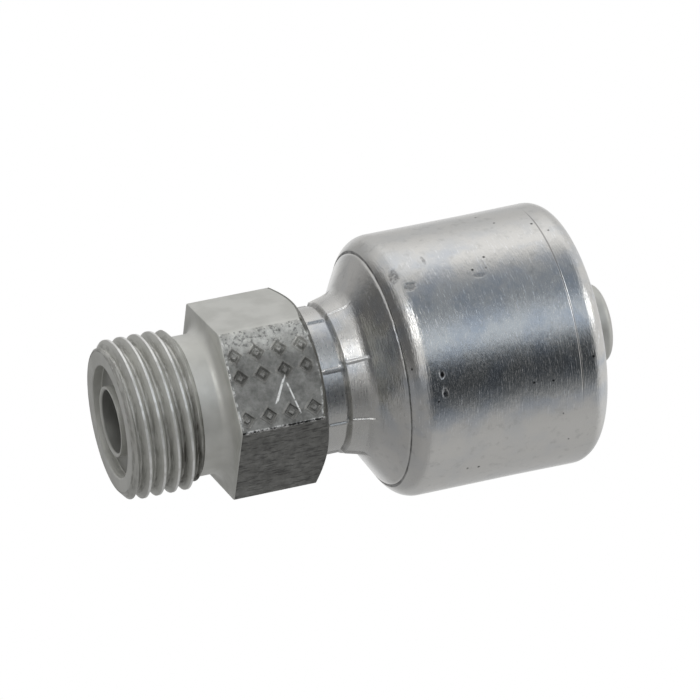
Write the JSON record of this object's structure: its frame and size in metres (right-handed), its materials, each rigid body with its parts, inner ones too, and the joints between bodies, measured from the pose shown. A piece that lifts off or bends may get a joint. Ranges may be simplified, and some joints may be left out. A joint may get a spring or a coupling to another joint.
{
  "type": "hydraulic hose end fitting with an O-ring face seal",
  "caption": "Straight steel hose end: male O-ring face seal thread, hexagon, and a staked crimp ferrule around a barbed hose insert with a through bore.",
  "frame": {"origin": "centre of the flat sealing face, on the surface that the fitting stands on", "axes": "+Z along the bore, from the sealing face to the hose end; +X through a corner of the hexagon"},
  "size_m": [0.029, 0.029, 0.0566],
  "materials": {
    "stem_zinc": "dull zinc plate over machined steel",
    "ferrule_zinc": "satin bright zinc plate over drawn steel"
  },
  "bodies": {
    "root": {"stem": "stem_zinc", "ferrule": "ferrule_zinc"}
  },
  "joints": []
}
